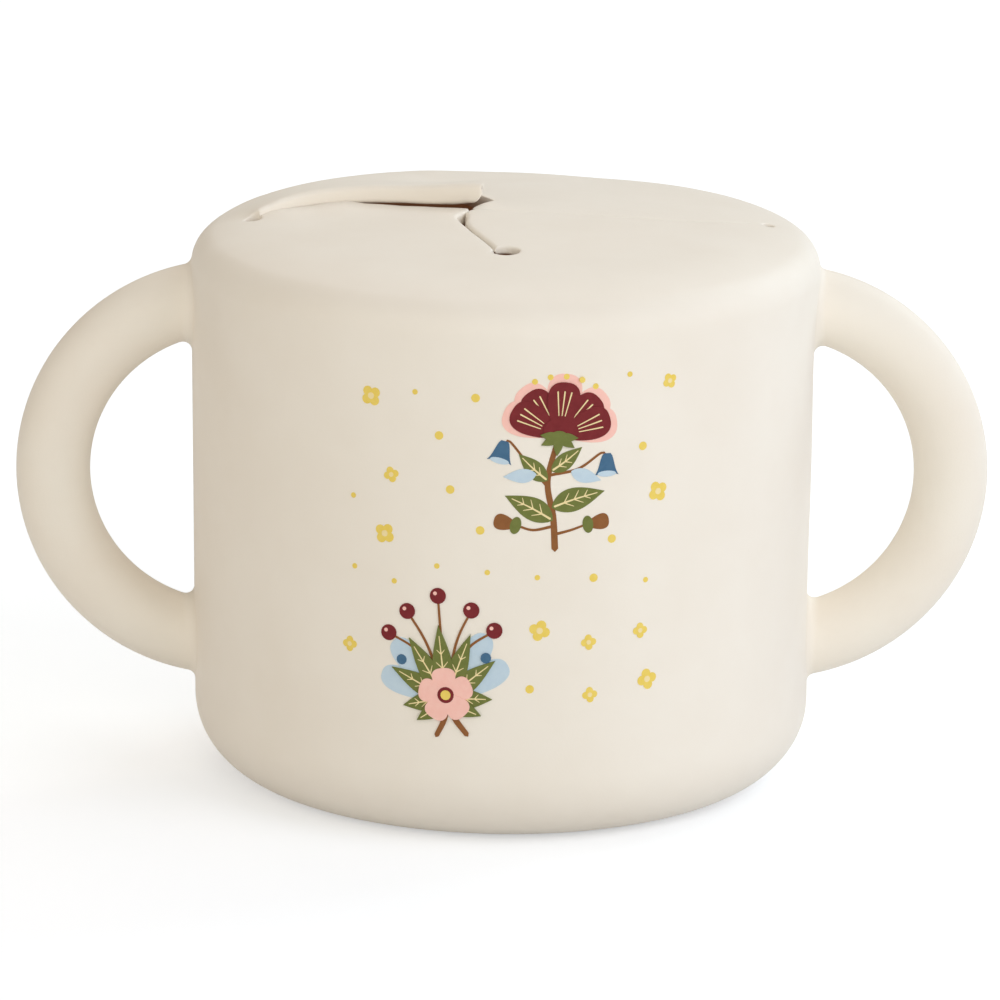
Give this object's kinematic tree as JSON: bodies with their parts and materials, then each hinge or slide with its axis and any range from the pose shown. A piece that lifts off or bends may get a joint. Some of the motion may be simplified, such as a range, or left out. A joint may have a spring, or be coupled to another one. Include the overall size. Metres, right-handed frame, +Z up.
{
  "type": "toddler snack container",
  "caption": "Round soft cup with two ring handles and a slit lid whose flaps bend in for a small hand and spring back.",
  "frame": {"origin": "centre of the base, on the surface that the cup stands on", "axes": "+Z up, front of the cup towards -Y, handles towards -X and +X"},
  "size_m": [0.1395, 0.09, 0.0838],
  "materials": {
    "body_silicone": "matte food-grade silicone",
    "flap_silicone": "matte food-grade silicone",
    "handle_silicone": "matte food-grade silicone",
    "print_ink": "thin matte printed ink"
  },
  "bodies": {
    "cup": {"cup_body": "body_silicone", "lid_ring": "body_silicone", "handle_left": "handle_silicone", "handle_right": "handle_silicone"},
    "flap_front_left": {"flap_front_left": "flap_silicone"},
    "flap_front_right": {"flap_front_right": "flap_silicone"},
    "flap_back_left": {"flap_back_left": "flap_silicone"},
    "flap_back_right": {"flap_back_right": "flap_silicone"}
  },
  "joints": [
    {"name": "flap_front_left_bend", "type": "hinge", "parent": "cup", "child": "flap_front_left", "pos_m": [-0.01739, -0.00726, 0.0793], "axis": [0.8118, -0.5839, 0], "range_deg": [-65, 30], "stiffness_Nm_per_rad": 0.02},
    {"name": "flap_front_right_bend", "type": "hinge", "parent": "cup", "child": "flap_front_right", "pos_m": [0.01662, -0.00784, 0.0793], "axis": [0.8392, 0.5439, 0], "range_deg": [-65, 30], "stiffness_Nm_per_rad": 0.02},
    {"name": "flap_back_left_bend", "type": "hinge", "parent": "cup", "child": "flap_back_left", "pos_m": [-0.02104, 0.01099, 0.0793], "axis": [-0.8461, -0.533, 0], "range_deg": [-77, 18], "stiffness_Nm_per_rad": 0.02},
    {"name": "flap_back_right_bend", "type": "hinge", "parent": "cup", "child": "flap_back_right", "pos_m": [0.01336, 0.01021, 0.0793], "axis": [-0.919, 0.3943, 0], "range_deg": [-65, 30], "stiffness_Nm_per_rad": 0.02}
  ]
}
